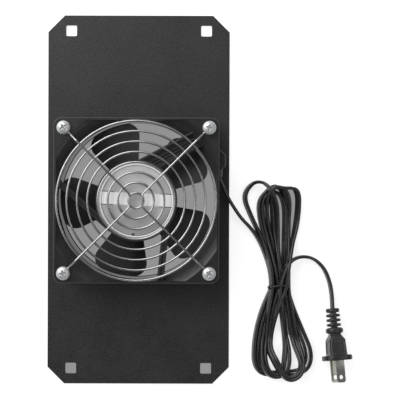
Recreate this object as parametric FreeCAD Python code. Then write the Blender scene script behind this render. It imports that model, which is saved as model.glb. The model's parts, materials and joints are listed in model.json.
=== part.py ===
import FreeCAD, Part
import math
import os

# A mains fan tray for a rack: a flat powder-coated plate that bolts on through
# four square holes, a 120 mm axial fan with a wire finger guard, and its cord.
# Millimetres. The origin is the centre of the plate's underside, +Z is the way
# the air is blown, and +Y runs along the plate.

Vec = FreeCAD.Vector
UP = Vec(0, 0, 1)

# --- mounting plate ---------------------------------------------------------
plate_width = 136.5
plate_length = 277.0
plate_thickness = 2.0
plate_corner_cut = 12.5
plate_edge_break = 0.3
square_hole_size = 8.15
square_hole_corner = 1.0
square_hole_pitch_x = 101.6
square_hole_pitch_y = 254.0

# --- fan casting ------------------------------------------------------------
fan_size = 119.5
fan_depth = 38.0
fan_corner_radius = 6.0
fan_edge_break = 0.6
fan_hole_pitch = 104.8
lug_thickness = 4.0
duct_radius = 57.6
duct_wall = 2.4
rim_wall = 1.85
outlet_flare = 10.4
outlet_flare_arc = 16.0
inlet_flare = 3.5
inlet_flare_arc = 5.0

# --- motor base and the struts that carry it --------------------------------
base_radius = 29.5
base_height = 8.0
base_wall = 2.0
base_plate = 2.6
base_drop = 0.5
boss_radius = 9.0
boss_length = 4.5
label_radius = 27.8
label_thickness = 0.25
label_gap = 0.2
strut_drop = 2.0
strut_edge = 0.8
# A strut runs along its heading, its middle at an offset from the fan axis. The
# wide one carries the motor's wires in its channel, the thin ones are ribbed.
lead_strut_heading = 28.0
lead_strut_offset = 18.8
lead_strut_width = 13.0
lead_channel_width = 9.8
lead_channel_depth = 4.6
lower_strut_heading = -96.0
lower_strut_offset = 23.2
side_strut_heading = 139.0
side_strut_offset = 27.4
thin_strut_width = 5.1
thin_groove_width = 1.6
thin_groove_depth = 1.8

# --- rotor ------------------------------------------------------------------
hub_radius = 29.0
hub_wall = 2.0
hub_floor = 2.2
hub_height = 25.5
hub_rise = 3.0
hub_edge_radius = 1.5
hub_boss_radius = 7.0
hub_boss_height = 2.2
blade_count = 5
blade_first_angle = 39.0
blade_half_angle = 23.0
blade_tip_clearance = 1.0
blade_tip_corner = 9.0
blade_height = 18.5
blade_middle = 15.5
blade_thickness = 1.9
blade_camber = 2.2
shaft_radius = 2.0
shaft_clearance = 0.03
shaft_seat = 1.6
shaft_end_gap = 1.4
cage_inner_clearance = 0.5
cage_height = 16.0
cage_rise = 4.8

# --- motor ------------------------------------------------------------------
core_radius = 20.8
core_height = 12.0
core_rise = 12.0
core_yoke_radius = 10.5
core_pole_width = 8.0
core_shoe = 3.4
core_slot = 3.0
pole_count = 4
former_wall = 0.8
coil_width = 15.6
coil_overhang = 3.1
bearing_tube_radius = 6.0
bearing_tube_wall = 1.5
bearing_length = 9.0
washer_thickness = 0.5
spring_washer_height = 1.2
clip_thickness = 0.6
clip_radius = 3.5
clip_groove = 0.4
stack_gap = 0.15

# --- finger guard -----------------------------------------------------------
guard_wire = 1.6
guard_ring_first = 5.5
guard_ring_pitch = 7.38
guard_ring_count = 8
guard_rise = 4.2
guard_weld = 0.1
spoke_inner_x = 2.5
spoke_bend = 5.0
spoke_foot_bend = 2.0
spoke_foot_run = 1.0
spoke_foot_slope = 35.0
eyelet_thickness = 1.3
eyelet_margin = 0.4
eyelet_overlap = 0.3
eyelet_wire_rise = 0.05

# --- screws -----------------------------------------------------------------
screw_radius = 2.35
screw_hole_clearance = 0.1
screw_head_radius = 4.75
screw_head_height = 3.0
screw_head_rim = 1.1
screw_length = 12.0
flat_head_radius = 4.3
flat_head_height = 1.75
flat_screw_length = 9.5

# --- supply terminals and the moulded connector on them ----------------------
terminal_low_z = 9.0
terminal_height = 12.0
terminal_y_low = 24.5
terminal_y_high = 39.5
terminal_depth = 10.0
pin_width = 2.8
pin_thickness = 0.8
pin_reach = 4.6
pin_root = 1.5
pin_spacing = 7.0
pin_middle_y = 30.0
contact_wall = 0.55
contact_clearance = 0.05
contact_extra = 0.5
connector_gap = 0.4
connector_reach = 8.8
connector_y_low = 22.5
connector_y_high = 37.6
connector_low_cut = 2.6
connector_high_cut = 4.4
connector_edge = 0.8
relief_inset = 4.7
relief_length = 5.5
relief_root_radius = 2.7
relief_tip_radius = 2.25
lead_wire_radius = 0.7
lead_wire_spacing = 2.2
lead_wire_bend = 3.0
lead_wire_inset = 1.8
lead_slot_margin = 0.3

# --- cord and plug ----------------------------------------------------------
cord_diameter = 3.8
hank_height = 8.0
hank_waist_height = 13.6
hank_crest_length = 12.0
hank_slope_length = 22.0
tie_wire = 1.2
tie_bend = 3.0
plug_heading = -85.5
plug_roll = 12.5
plug_entry = (145.2, -81.4, 5.6)
plug_relief_length = 18.6
plug_rib_count = 4
plug_rib_start = 0.6
plug_rib_pitch = 3.5
plug_rib_thickness = 2.2
plug_rib_first_radius = 5.05
plug_rib_last_radius = 5.3
plug_rib_edge = 0.6
plug_collar_radius = 6.3
plug_collar_thickness = 3.4
plug_core_first_radius = 2.2
plug_core_last_radius = 3.6
plug_neck_width = 7.8
plug_neck_depth = 11.5
plug_neck_corner = 2.6
plug_shoulder_length = 4.2
plug_body_length = 15.8
plug_body_width = 11.4
plug_body_depth = 16.4
plug_body_corner = 2.6
plug_grip_margin = 1.5
plug_grip_depth = 0.5
plug_flange_length = 3.9
plug_flange_width = 19.5
plug_flange_depth = 22.0
plug_flange_corner = 7.0
plug_flange_edge = 0.6
plug_blade_length = 16.2
plug_blade_width = 6.35
plug_blade_thickness = 1.5
plug_blade_spacing = 12.7
plug_blade_root = 4.0
plug_blade_tip_cut = 1.2
plug_blade_hole_radius = 1.55
plug_blade_hole_place = 12.3

# --- heights and radii that follow from the above -----------------------------
fan_low = plate_thickness
fan_top = fan_low + fan_depth
half_fan = fan_size / 2
lug_place = fan_hole_pitch / 2
screw_hole_radius = screw_radius + screw_hole_clearance
duct_outer = duct_radius + duct_wall
base_top = fan_top - base_drop
base_low = base_top - base_height
base_inner = base_radius - base_wall
base_ceiling = base_top - base_plate
strut_top = fan_top - strut_drop
strut_low = base_low
hub_low = fan_low + hub_rise
hub_inner = hub_radius - hub_wall
hub_inside = hub_low + hub_floor
blade_tip_radius = duct_radius - blade_tip_clearance
boss_top = hub_inside + hub_boss_height
shaft_low = hub_low + hub_floor - shaft_seat
shaft_top = base_ceiling - shaft_end_gap
core_low = fan_low + core_rise
core_high = core_low + core_height
coil_low = core_low - coil_overhang
coil_high = core_high + coil_overhang
bearing_bore = bearing_tube_radius - bearing_tube_wall
spring_washer_low = boss_top + stack_gap
rear_bearing_low = spring_washer_low + spring_washer_height + stack_gap
clip_low = shaft_top - 3 * clip_thickness
washer_low = clip_low - stack_gap - washer_thickness
front_bearing_low = washer_low - bearing_length
ring_level = fan_top + guard_rise
spoke_level = ring_level + guard_wire - guard_weld
screw_seat = fan_top + eyelet_thickness
eyelet_radius = screw_head_radius + eyelet_margin
eyelet_level = fan_top + guard_wire / 2 + eyelet_wire_rise
terminal_high_z = terminal_low_z + terminal_height
terminal_mid_z = terminal_low_z + terminal_height / 2
wire_level = strut_top - lead_channel_depth + lead_wire_radius
terminal_face_x = math.sqrt(duct_outer ** 2 - connector_y_low ** 2) + connector_gap
relief_x = terminal_face_x + connector_reach - relief_inset


# --- shapes that several sub-parts use ----------------------------------------
def disc(radius, low, high):
    """Upright cylinder on the fan axis."""
    return Part.makeCylinder(radius, high - low, Vec(0, 0, low))


def ring(inner, outer, low, high):
    """Upright tube on the fan axis."""
    return disc(outer, low, high).cut(disc(inner, low, high))


def block(x_range, y_range, z_range):
    """Box from three (low, high) pairs."""
    sides = [pair[1] - pair[0] for pair in (x_range, y_range, z_range)]
    return Part.makeBox(*sides, Vec(x_range[0], y_range[0], z_range[0]))


def moved(shape, x, y, z=0.0):
    copy = shape.copy()
    copy.translate(Vec(x, y, z))
    return copy


def turned(shape, angle, centre=Vec(0, 0, 0), axis=UP):
    copy = shape.copy()
    copy.rotate(centre, axis, angle)
    return copy


def at_corners(shape, half_x, half_y):
    """Four copies, one at each corner of a rectangle about the fan axis."""
    places = [(x, y) for x in (-half_x, half_x) for y in (-half_y, half_y)]
    return [moved(shape, x, y) for x, y in places]


def prism(points, low, high):
    """Upright prism on a closed outline of (x, y) points."""
    corners = [Vec(x, y, low) for x, y in points]
    outline = Part.makePolygon(corners + corners[:1])
    return Part.Face(outline).extrude(Vec(0, 0, high - low))


def upright_edges(shape):
    return [edge for edge in shape.Edges if edge.BoundBox.ZLength > 0 and
            edge.BoundBox.XLength + edge.BoundBox.YLength < 1e-6]


def rounded_block(half_x, half_y, low, high, radius):
    """Box about the fan axis with its upright edges rounded."""
    box = block((-half_x, half_x), (-half_y, half_y), (low, high))
    return box.makeFillet(radius, upright_edges(box))


def revolved(edges):
    """Solid turned about the Z axis from the edges of a half section."""
    face = Part.Face(Part.Wire(Part.__sortEdges__(edges)))
    return face.revolve(Vec(0, 0, 0), UP, 360)


def arc(start, middle, end):
    return Part.Arc(start, middle, end).toShape()


def bent_path(points, bends=None):
    """Wire of straight runs joined by tangent arcs, and the arcs' radii.

    Without bends each arc is as large as its two runs allow: 0.45 of the
    shorter run over the tangent of half the turn.
    """
    points = [Vec(*point) for point in points]
    bends = bends or [None] * (len(points) - 2)
    edges = []
    radii = []
    start = points[0]
    for before, corner, after, bend in zip(points, points[1:], points[2:], bends):
        inward = (corner - before).normalize()
        outward = (after - corner).normalize()
        half_turn = inward.getAngle(outward) / 2
        shorter = min((corner - before).Length, (after - corner).Length)
        radius = bend or 0.45 * shorter / math.tan(half_turn)
        setback = radius * math.tan(half_turn)
        first = corner - inward * setback
        last = corner + outward * setback
        sag = radius / math.cos(half_turn) - radius
        middle = corner + (outward - inward).normalize() * sag
        edges.append(Part.LineSegment(start, first).toShape())
        edges.append(arc(first, middle, last))
        radii.append(radius)
        start = last
    edges.append(Part.LineSegment(start, points[-1]).toShape())
    return Part.Wire(edges), radii


def swept(path, radius):
    """Round bar along a path."""
    first = path.Edges[0]
    start = first.valueAt(first.FirstParameter)
    along = first.tangentAt(first.FirstParameter)
    section = Part.Wire(Part.makeCircle(radius, start, along))
    return path.makePipeShell([section], True, True)


# --- plate and its fasteners ----------------------------------------------------
def mounting_plate():
    half_x = plate_width / 2
    half_y = plate_length / 2
    cut = plate_corner_cut
    quarter = [(half_x, half_y - cut), (half_x - cut, half_y)]
    left = [(-x, y) for x, y in reversed(quarter)]
    outline = quarter + left + [(-x, -y) for x, y in quarter + left]
    plate = prism(outline, 0, plate_thickness)
    edges = [edge for edge in plate.Edges if edge.BoundBox.ZLength < 1e-6]
    plate = plate.makeChamfer(plate_edge_break, edges)
    plate = plate.cut(disc(duct_radius, 0, plate_thickness))
    half_hole = square_hole_size / 2
    punch = rounded_block(half_hole, half_hole, 0, plate_thickness, square_hole_corner)
    plate = plate.cut(at_corners(punch, square_hole_pitch_x / 2, square_hole_pitch_y / 2))
    return plate.cut(at_corners(flat_screw(screw_hole_clearance), lug_place, lug_place))


def flat_screw(margin=0.0):
    """Countersunk screw, head down and flush with the underside.

    With a margin it is the clearance hole that the screw needs.
    """
    shank_radius = screw_radius + margin
    top = plate_thickness + flat_screw_length
    head = Part.makeCone(flat_head_radius, shank_radius, flat_head_height)
    return head.fuse(disc(shank_radius, flat_head_height, top)).removeSplitter()


def pan_screw():
    """Pan-head screw that holds a guard eyelet on a fan lug."""
    low = screw_seat
    high = low + screw_head_height
    crown = screw_head_height - screw_head_rim
    ball_radius = (screw_head_radius ** 2 + crown ** 2) / (2 * crown)
    ball = Part.makeSphere(ball_radius, Vec(0, 0, high - ball_radius))
    head = disc(screw_head_radius, low, high).common(ball)
    return head.fuse(disc(screw_radius, low - screw_length, low))


def plate_screws():
    return Part.makeCompound(at_corners(flat_screw(), lug_place, lug_place))


def guard_screws():
    return Part.makeCompound(at_corners(pan_screw(), lug_place, lug_place))


# --- fan casting ------------------------------------------------------------------
def flare_height(reach, radius):
    """Height of a flare that widens the bore by reach along an arc."""
    return math.sqrt(radius ** 2 - (radius - reach) ** 2)


def duct_space():
    """Air passage: a straight bore with a curved flare at each end."""
    low = fan_low + flare_height(inlet_flare, inlet_flare_arc)
    high = fan_top - flare_height(outlet_flare, outlet_flare_arc)
    edges = [
        flare_arc(fan_low, low, inlet_flare, inlet_flare_arc),
        flare_arc(fan_top, high, outlet_flare, outlet_flare_arc),
        Part.makeLine(Vec(duct_radius, 0, low), Vec(duct_radius, 0, high)),
        Part.makeLine(Vec(duct_radius + outlet_flare, 0, fan_top), Vec(0, 0, fan_top)),
        Part.makeLine(Vec(0, 0, fan_top), Vec(0, 0, fan_low)),
        Part.makeLine(Vec(0, 0, fan_low), Vec(duct_radius + inlet_flare, 0, fan_low)),
    ]
    return revolved(edges).common(square_block(half_fan - rim_wall))


def square_block(half):
    """Square bar about the fan axis, as high as the fan."""
    return block((-half, half), (-half, half), (fan_low, fan_top))


def flare_arc(mouth, throat, reach, radius):
    """Arc of a flare, from the bore at height throat to its mouth."""
    centre = Vec(duct_radius + radius, 0, throat)
    full = math.acos((radius - reach) / radius)
    side = 1 if mouth > throat else -1
    points = []
    for share in (0, 0.5, 1):
        angle = full * share
        points.append(centre + Vec(-radius * math.cos(angle), 0, side * radius * math.sin(angle)))
    return arc(*points)


def duct_skin(wall):
    """Solid plug that a wall of this thickness round the bore would hold.

    It follows the outlet flare; the straight part starts at the fan's rear.
    """
    throat = fan_top - flare_height(outlet_flare, outlet_flare_arc)
    outer = duct_radius + wall
    radius = outlet_flare_arc - wall
    centre = Vec(duct_radius + outlet_flare_arc, 0, throat)
    slant = radius * math.sqrt(0.5)
    top = centre + Vec(0, 0, radius)
    edges = [
        Part.makeLine(Vec(0, 0, fan_low), Vec(outer, 0, fan_low)),
        Part.makeLine(Vec(outer, 0, fan_low), Vec(outer, 0, throat)),
        arc(Vec(outer, 0, throat), centre + Vec(-slant, 0, slant), top),
        Part.makeLine(top, Vec(top.x, 0, fan_top)),
        Part.makeLine(Vec(top.x, 0, fan_top), Vec(0, 0, fan_top)),
        Part.makeLine(Vec(0, 0, fan_top), Vec(0, 0, fan_low)),
    ]
    return revolved(edges)


def skin_radius(height):
    """Outer radius of the duct wall at a height."""
    above = height - fan_top + flare_height(outlet_flare, outlet_flare_arc)
    if above <= 0:
        return duct_outer
    radius = outlet_flare_arc - duct_wall
    return duct_radius + outlet_flare_arc - math.sqrt(radius ** 2 - above ** 2)


def strut(heading, offset, width, groove_width, groove_depth):
    """Grooved bar from the motor base to the duct wall."""
    side = width / 2
    groove = groove_width / 2
    floor = strut_top - groove_depth
    shoulder = strut_top - strut_edge
    section = [
        (-side, strut_low), (side, strut_low), (side, shoulder), (side - strut_edge, strut_top),
        (groove, strut_top), (groove, floor), (-groove, floor), (-groove, strut_top),
        (strut_edge - side, strut_top), (-side, shoulder),
    ]
    corners = [Vec(0, offset + across, height) for across, height in section]
    outline = Part.makePolygon(corners + corners[:1])
    bar = turned(Part.Face(outline).extrude(Vec(fan_size, 0, 0)), heading)
    bar = bar.common(duct_skin(duct_wall / 2)).common(square_block(half_fan - rim_wall / 2))
    return bar.cut(disc(base_radius - base_wall / 2, strut_low, strut_top))


def lead_strut():
    return strut(lead_strut_heading, lead_strut_offset, lead_strut_width,
                 lead_channel_width, lead_channel_depth)


def lower_strut():
    return strut(lower_strut_heading, lower_strut_offset, thin_strut_width,
                 thin_groove_width, thin_groove_depth)


def side_strut():
    return strut(side_strut_heading, side_strut_offset, thin_strut_width,
                 thin_groove_width, thin_groove_depth)


def motor_base():
    """Shallow cup that faces down, with a boss for the bearing tube."""
    cup = disc(base_radius, base_low, base_top)
    cup = cup.cut(disc(base_inner, base_low, base_ceiling))
    boss = ring(bearing_tube_radius, boss_radius, base_ceiling - boss_length, base_ceiling)
    recess = disc(label_radius + label_gap, base_top - label_thickness, base_top)
    return cup.fuse(boss).cut(recess)


def lead_slot(near, far):
    """Cut for the motor's two wires through a wall between two radii."""
    half = lead_wire_spacing / 2 + lead_wire_radius + lead_slot_margin
    rise = lead_wire_radius + lead_slot_margin
    level = (wire_level - rise, wire_level + rise)
    bar = block((0, far), (lead_strut_offset - half, lead_strut_offset + half), level)
    return turned(bar.common(ring(near, far, *level)), lead_strut_heading)


def fan_frame():
    square = rounded_block(half_fan, half_fan, fan_low, fan_top, fan_corner_radius)
    edges = [edge for edge in square.Edges if edge.BoundBox.ZLength < 1e-6]
    square = square.makeChamfer(fan_edge_break, edges)
    big = fan_size
    flanges = [
        block((-big, big), (-big, big), (fan_low, fan_low + lug_thickness)),
        block((-big, big), (-big, big), (fan_top - lug_thickness, fan_top)),
    ]
    shell = duct_skin(duct_wall).multiFuse(flanges).common(square).cut(duct_space())
    holes = at_corners(disc(screw_hole_radius, fan_low, fan_top), lug_place, lug_place)
    shell = shell.cut(holes)
    frame = shell.multiFuse([motor_base(), lead_strut(), lower_strut(), side_strut()])
    return frame.cut([
        lead_slot(base_inner - 1, base_radius + 1),
        lead_slot(duct_radius - 1, skin_radius(wire_level) + 3),
    ]).removeSplitter()


def motor_label():
    return disc(label_radius, base_top - label_thickness, base_top)


# --- motor stator and bearings ------------------------------------------------------
def bearing_tube():
    low = rear_bearing_low - spring_washer_height / 2
    return ring(bearing_bore, bearing_tube_radius, low, base_ceiling)


def sleeve_bearing(low):
    return ring(shaft_radius + shaft_clearance, bearing_bore, low, low + bearing_length)


def pole_arm(half_width, inner, outer, low, high):
    """Radial bar on +X; the other poles are turned copies."""
    return block((inner, outer), (-half_width, half_width), (low, high))


def around_poles(shape):
    return [turned(shape, 360.0 / pole_count * index) for index in range(pole_count)]


def stator_core():
    half = core_pole_width / 2
    yoke = disc(core_yoke_radius, core_low, core_high)
    rim = ring(core_radius - core_shoe, core_radius, core_low, core_high)
    gap = turned(pole_arm(core_slot / 2, 0, core_radius + 1, core_low, core_high),
                 180.0 / pole_count)
    rim = rim.cut(around_poles(gap))
    arms = around_poles(pole_arm(half, 0, core_radius - core_shoe / 2, core_low, core_high))
    core = yoke.multiFuse(arms + [rim])
    return core.cut(disc(bearing_tube_radius, core_low, core_high)).removeSplitter()


def coil_range():
    """Radial room for a coil between the yoke and the pole shoes."""
    half = coil_width / 2
    inner = max(core_yoke_radius, half) + stack_gap
    return inner, math.sqrt((core_radius - core_shoe) ** 2 - half ** 2) - stack_gap


def coil_formers():
    inner, outer = coil_range()
    half = core_pole_width / 2
    wall = former_wall
    former = pole_arm(half + wall, inner, outer, core_low - wall, core_high + wall)
    former = former.cut(pole_arm(half, inner, outer, core_low, core_high))
    return Part.makeCompound(around_poles(former))


def stator_coils():
    inner, outer = coil_range()
    half = core_pole_width / 2 + former_wall
    coil = pole_arm(coil_width / 2, inner, outer, coil_low, coil_high)
    radial = [edge for edge in coil.Edges if edge.BoundBox.XLength > 1]
    coil = coil.makeFillet(coil_overhang * 0.7, radial)
    window = pole_arm(half, inner, outer, core_low - former_wall, core_high + former_wall)
    return Part.makeCompound(around_poles(coil.cut(window)))


def thrust_washer():
    return ring(shaft_radius + stack_gap, bearing_bore - stack_gap,
                washer_low, washer_low + washer_thickness)


def spring_washer():
    """Dished washer that takes up the rotor's end play."""
    inner = shaft_radius + stack_gap
    outer = bearing_bore - stack_gap
    low = spring_washer_low
    rise = spring_washer_height - washer_thickness
    section = [
        Vec(inner, 0, low + rise), Vec(outer, 0, low), Vec(outer, 0, low + washer_thickness),
        Vec(inner, 0, low + rise + washer_thickness),
    ]
    edges = [Part.makeLine(a, b) for a, b in zip(section, section[1:] + section[:1])]
    return revolved(edges)


# --- rotor --------------------------------------------------------------------------
def blade_section(x):
    """Cambered section of a blade in the plane at distance x from the axis."""
    reach = x * math.tan(math.radians(blade_half_angle + 3))
    middle = fan_low + blade_middle
    half = blade_thickness / 2
    fall = blade_height / 2

    def height(share, side):
        return middle - fall * share + blade_camber * (1 - share * share) + side * half

    top = [Vec(x, reach * share, height(share, 1)) for share in (-1, 0, 1)]
    under = [Vec(x, reach * share, height(share, -1)) for share in (1, 0, -1)]
    return Part.Wire([
        arc(*top),
        Part.makeLine(top[2], under[0]),
        arc(*under),
        Part.makeLine(under[2], top[0]),
    ])


def blade():
    """One blade on +X, twisted from hub to tip, with rounded tip corners."""
    root = hub_radius - hub_wall / 2
    stations = [root - 4, (root + blade_tip_radius) / 2, blade_tip_radius + 1]
    sheet = Part.makeLoft([blade_section(x) for x in stations], True, False)
    angle = math.radians(blade_half_angle)
    low = hub_low
    high = hub_low + hub_height
    far = blade_tip_radius / math.cos(angle)
    wedge = prism([(0, 0), (far, -far * math.tan(angle)), (far, far * math.tan(angle))], low, high)
    outline = wedge.common(ring(root, blade_tip_radius, low, high))
    corners = [edge for edge in upright_edges(outline)
               if math.hypot(edge.Vertexes[0].X, edge.Vertexes[0].Y) > blade_tip_radius - 1]
    outline = outline.makeFillet(blade_tip_corner, corners)
    return sheet.common(outline)


def impeller():
    high = hub_low + hub_height
    cup = disc(hub_radius, hub_low, high)
    lower_edge = [edge for edge in cup.Edges
                  if edge.BoundBox.ZLength < 1e-6 and edge.BoundBox.ZMax < hub_low + 1]
    cup = cup.makeFillet(hub_edge_radius, lower_edge)
    cup = cup.cut(disc(hub_inner, hub_inside, high))
    cup = cup.fuse(disc(hub_boss_radius, hub_inside - 1, boss_top))
    first = turned(blade(), blade_first_angle)
    step = 360.0 / blade_count
    blades = [turned(first, step * index) for index in range(blade_count)]
    return cup.multiFuse(blades).cut(disc(shaft_radius, shaft_low, boss_top))


def rotor_cage():
    low = hub_inside + cage_rise
    return ring(core_radius + cage_inner_clearance, hub_inner, low, low + cage_height)


def rotor_shaft():
    shaft = disc(shaft_radius, shaft_low, shaft_top)
    neck = shaft_radius - clip_groove
    return shaft.cut(ring(neck, shaft_radius, clip_low, clip_low + clip_thickness))


def retaining_clip():
    neck = shaft_radius - clip_groove
    clip = ring(neck, clip_radius, clip_low, clip_low + clip_thickness)
    mouth = block((0, clip_radius), (-neck / 2, neck / 2), (clip_low, clip_low + clip_thickness))
    return clip.cut(mouth)


# --- finger guard ---------------------------------------------------------------------
def guard_rings():
    radii = [guard_ring_first + guard_ring_pitch * index for index in range(guard_ring_count)]
    rings = [Part.makeTorus(radius, guard_wire / 2, Vec(0, 0, ring_level)) for radius in radii]
    return Part.makeCompound(rings)


def spoke(side):
    """Wire from lug to lug, bent to a V beside the centre, with an eyelet each end."""
    rise = spoke_level - eyelet_level
    foot = eyelet_radius - eyelet_overlap
    toe = eyelet_radius + spoke_foot_run
    knee = toe + rise / math.tan(math.radians(spoke_foot_slope))
    foot, toe, knee = [lug_place - reach / math.sqrt(2) for reach in (foot, toe, knee)]
    heel = spoke_inner_x + spoke_bend * 0.4
    half = [
        (side * foot, foot, eyelet_level),
        (side * toe, toe, eyelet_level),
        (side * knee, knee, spoke_level),
        (side * heel, heel, spoke_level),
    ]
    other = [(x, -y, z) for x, y, z in reversed(half)]
    bends = [spoke_foot_bend, spoke_foot_bend, spoke_bend]
    path, radii = bent_path(half + other, bends + bends[::-1])
    eyelet = ring(screw_hole_radius, eyelet_radius, fan_top, screw_seat)
    eyelets = [moved(eyelet, side * lug_place, y) for y in (-lug_place, lug_place)]
    return swept(path, guard_wire / 2).multiFuse(eyelets)


def guard_spokes():
    return Part.makeCompound([spoke(-1), spoke(1)])


# --- supply terminals and connector --------------------------------------------------------
def pin_places():
    return [pin_middle_y - pin_spacing / 2, pin_middle_y + pin_spacing / 2]


def pin_shape(y, grow=0.0):
    """Flat tab along X at one of the two pin places."""
    across = pin_width / 2 + grow
    thick = pin_thickness / 2 + grow
    x_range = (terminal_face_x - pin_root, terminal_face_x + pin_reach)
    return block(x_range, (y - across, y + across), (terminal_mid_z - thick, terminal_mid_z + thick))


def terminal_pins():
    return Part.makeCompound([pin_shape(y) for y in pin_places()])


def terminal_block():
    """Insulating block on the duct wall, between the two flanges."""
    body = block((terminal_face_x - terminal_depth, terminal_face_x),
                 (terminal_y_low, terminal_y_high), (terminal_low_z, terminal_high_z))
    body = body.cut(disc(duct_outer, terminal_low_z, terminal_high_z))
    return body.cut([pin_shape(y) for y in pin_places()])


def contact_shape(y, grow):
    """Box along X about a pin, larger than the pin by grow all round."""
    across = pin_width / 2 + grow
    thick = pin_thickness / 2 + grow
    x_range = (terminal_face_x, terminal_face_x + pin_reach + contact_extra)
    return block(x_range, (y - across, y + across), (terminal_mid_z - thick, terminal_mid_z + thick))


def connector_contacts():
    sleeves = []
    for y in pin_places():
        outside = contact_shape(y, contact_clearance + contact_wall)
        sleeves.append(outside.cut(contact_shape(y, contact_clearance)))
    return Part.makeCompound(sleeves)


def cord_connector():
    near = terminal_face_x
    far = terminal_face_x + connector_reach
    low = connector_y_low
    high = connector_y_high
    outline = [
        (near, low), (far - connector_low_cut, low), (far, low + connector_low_cut),
        (far, high - connector_high_cut), (far - connector_high_cut, high), (near, high),
    ]
    body = prism(outline, terminal_low_z, terminal_high_z)
    edges = [edge for edge in body.Edges if edge.BoundBox.XMax > near + 1e-6]
    body = body.makeFillet(connector_edge, edges)
    return body.cut([contact_shape(y, contact_clearance + contact_wall) for y in pin_places()])


def connector_relief():
    root = Vec(relief_x, connector_y_low, terminal_mid_z)
    return Part.makeCone(relief_root_radius, relief_tip_radius, relief_length, root, Vec(0, -1, 0))


def motor_leads():
    """Two wires from inside the motor base, along the wide strut, to the terminals."""
    offset = lead_strut_offset
    inside = math.sqrt((base_inner - lead_wire_bend) ** 2 - offset ** 2)
    outside = math.sqrt((skin_radius(wire_level) + lead_wire_bend) ** 2 - offset ** 2)
    wires = []
    for side in (-1, 1):
        across = offset + side * lead_wire_spacing / 2
        run = [Vec(inside, across, wire_level), Vec(outside, across, wire_level)]
        run = [FreeCAD.Rotation(UP, lead_strut_heading).multVec(point) for point in run]
        beside = terminal_y_high - lead_wire_spacing + side * lead_wire_spacing / 2
        end = Vec(terminal_face_x - lead_wire_inset, beside, terminal_high_z)
        drop = end + UP * 2 * lead_wire_bend
        path, radii = bent_path(run + [drop, end], [lead_wire_bend] * 2)
        wires.append(swept(path, lead_wire_radius))
    return Part.makeCompound(wires)


# --- cord ----------------------------------------------------------------------------------
lead_route = [
    (relief_x, connector_y_low - relief_length, terminal_mid_z),
    (61.0, 10.8, 14.2),
    (65.6, 2.6, 11.4),
    (71.3, -5.0, 8.4),
    (77.2, -13.2, 5.2),
    (84.6, -21.2, 3.2),
    (91.0, -30.6, 2.6),
    (95.6, -41.4, 2.8),
    (98.9, -51.8, 3.6),
]

tail_route = [
    (110.6, -48.0, 8.4),
    (118.6, -42.2, 6.2),
    (130.4, -42.6, 3.4),
    (139.3, -50.4, 2.5),
    (143.8, -61.0, 2.6),
    (145.2, -71.4, 3.7),
    plug_entry,
]

# Outline of the tied hank seen from above: the waist, the upper bundle with a
# loose loop on its left, and the wider lower loops.
hank_outline = [
    (99.0, -64.9), (96.0, -40.5), (84.6, -15.5), (78.9, 2.5), (85.5, 12.8), (98.0, 12.6),
    (112.8, 11.6), (121.6, 1.0), (121.4, -15.0), (118.0, -41.0), (113.2, -64.9),
    (121.0, -88.0), (130.6, -105.0), (131.0, -118.0), (117.0, -136.2), (98.0, -133.0),
    (85.0, -122.0), (85.4, -103.0), (92.0, -80.0),
]


def cord_tube(name, route):
    """Round tube along a cord route, which is laid out by hand."""
    path, radii = bent_path(route)
    print(name, "bend radii", [round(radius, 1) for radius in radii], "length", round(path.Length, 1))
    return swept(path, cord_diameter / 2)


def cord_lead():
    return cord_tube("cord_lead", lead_route)


def cord_tail():
    return cord_tube("cord_tail", tail_route)


def hank_waist():
    """Middle of the tied waist, from the two outline points beside it."""
    return (hank_outline[0][0] + hank_outline[10][0]) / 2, hank_outline[0][1]


def cord_hank():
    """Outer shape of the folded cord: low at both ends, heaped up at the waist."""
    curve = Part.BSplineCurve()
    curve.interpolate([Vec(x, y, 0) for x, y in hank_outline], PeriodicFlag=True)
    plan = Part.Face(Part.Wire(curve.toShape())).extrude(Vec(0, 0, hank_waist_height))
    box = plan.BoundBox
    waist_y = hank_waist()[1]
    crest = hank_crest_length / 2
    foot = crest + hank_slope_length
    side = [(box.YMin, 0), (box.YMax, 0), (box.YMax, hank_height), (waist_y + foot, hank_height),
            (waist_y + crest, hank_waist_height), (waist_y - crest, hank_waist_height),
            (waist_y - foot, hank_height), (box.YMin, hank_height)]
    corners = [Vec(box.XMin, y, z) for y, z in side]
    profile = Part.Face(Part.makePolygon(corners + corners[:1]))
    return plan.common(profile.extrude(Vec(box.XLength, 0, 0)))


def cord_tie():
    """Wire tie round the waist of the hank."""
    centre_x, waist_y = hank_waist()
    half = (hank_outline[10][0] - hank_outline[0][0]) / 2 + tie_wire / 2
    low = tie_wire / 2
    high = hank_waist_height + tie_wire / 2
    points = [(-half, high), (-half, low), (half, low), (half, high)]
    corners = [(centre_x + x, waist_y, z) for x, z in points]
    middle = (centre_x, waist_y, high)
    loop, radii = bent_path([middle] + corners + [middle], [tie_bend] * 4)
    return swept(loop, tie_wire / 2)


# --- plug, built along +X and then laid on its side at the cord's end ------------------------
def plug_laid(shape):
    """Rolls, tips up and turns a plug piece about the point where the cord enters.

    It is tipped up until its flange rests on the surface that the plate lies on.
    """
    roll = math.radians(plug_roll)
    corner = plug_flange_corner
    below = (plug_flange_depth / 2 - corner) * math.cos(roll)
    below += (plug_flange_width / 2 - corner) * math.sin(roll) + corner
    along = plug_relief_length + plug_body_length
    slant = math.atan2(below, along) - math.asin(plug_entry[2] / math.hypot(below, along))
    pitch = math.degrees(slant)
    laid = turned(shape, -plug_roll, axis=Vec(1, 0, 0))
    laid = turned(laid, -pitch, axis=Vec(0, 1, 0))
    laid = turned(laid, plug_heading)
    return moved(laid, *plug_entry)


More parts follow.
